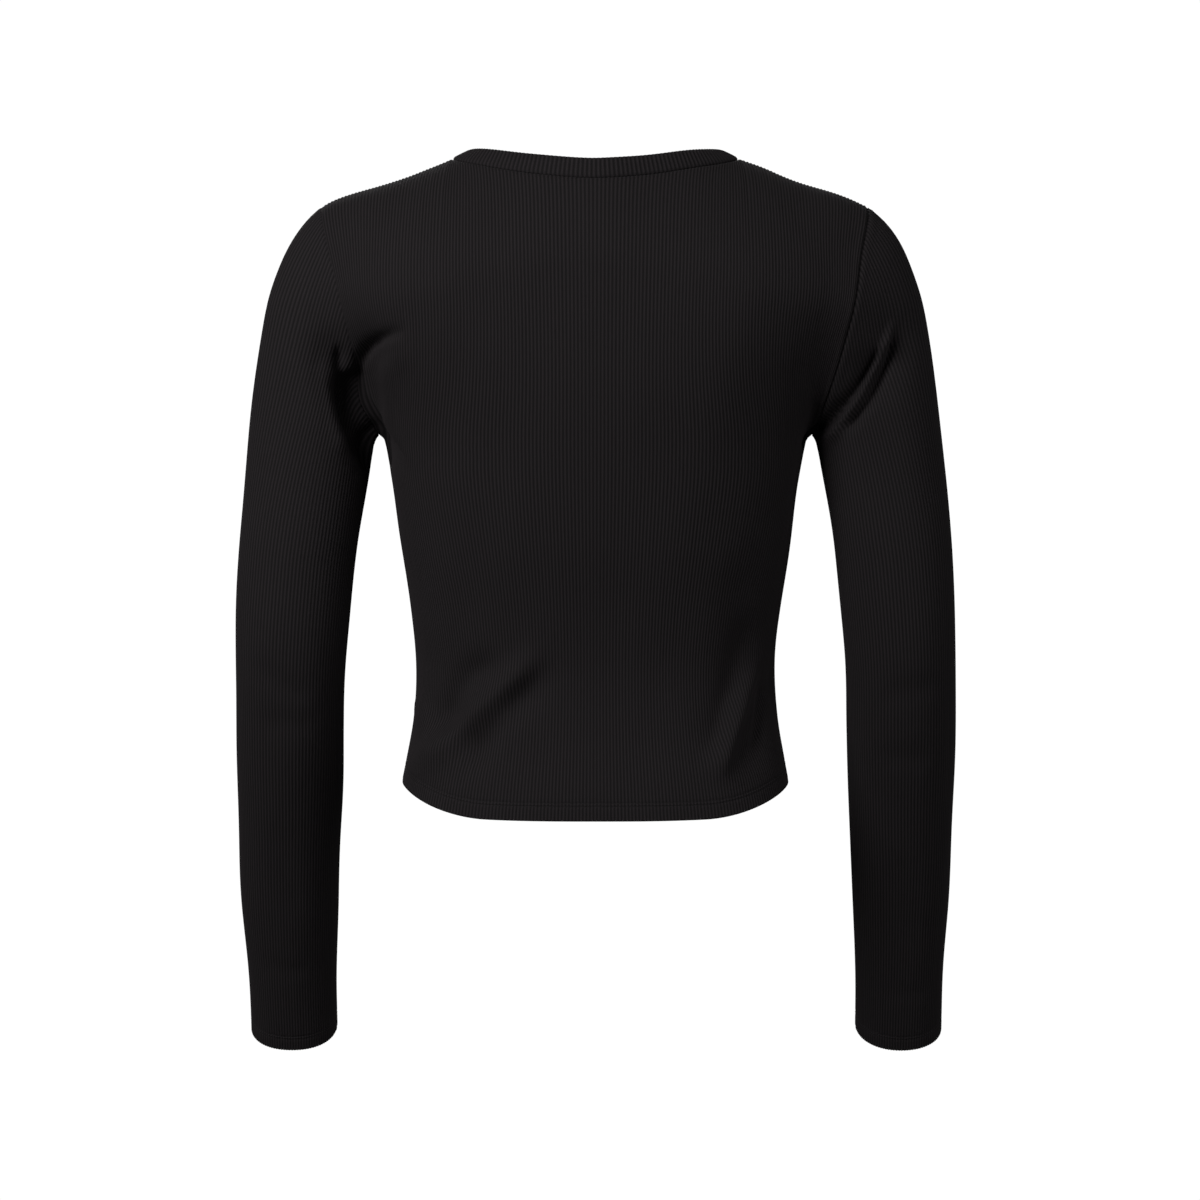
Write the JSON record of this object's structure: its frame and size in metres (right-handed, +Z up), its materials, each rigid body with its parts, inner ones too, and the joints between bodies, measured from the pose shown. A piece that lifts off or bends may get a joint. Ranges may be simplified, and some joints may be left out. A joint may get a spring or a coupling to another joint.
{
  "type": "crop top",
  "caption": "Fitted long-sleeved crop top in fine black rib knit, filled out as worn, with a round bound neckline and stitched hem and cuffs.",
  "frame": {"origin": "where the wearer's shoulders carry the top: on the centre plane, midway between the two shoulder seams, at their mean height", "axes": "+Z up; the wearer faces -Y, so the back of the top faces +Y; +X is the wearer's left"},
  "size_m": [0.5182, 0.2214, 0.6614],
  "materials": {
    "rib_knit": "matte black cotton and elastane jersey, finely ribbed lengthways"
  },
  "bodies": {
    "root": {"back_panel": "rib_knit", "front_panel": "rib_knit", "left_sleeve": "rib_knit", "right_sleeve": "rib_knit", "neck_band": "rib_knit"}
  },
  "joints": []
}
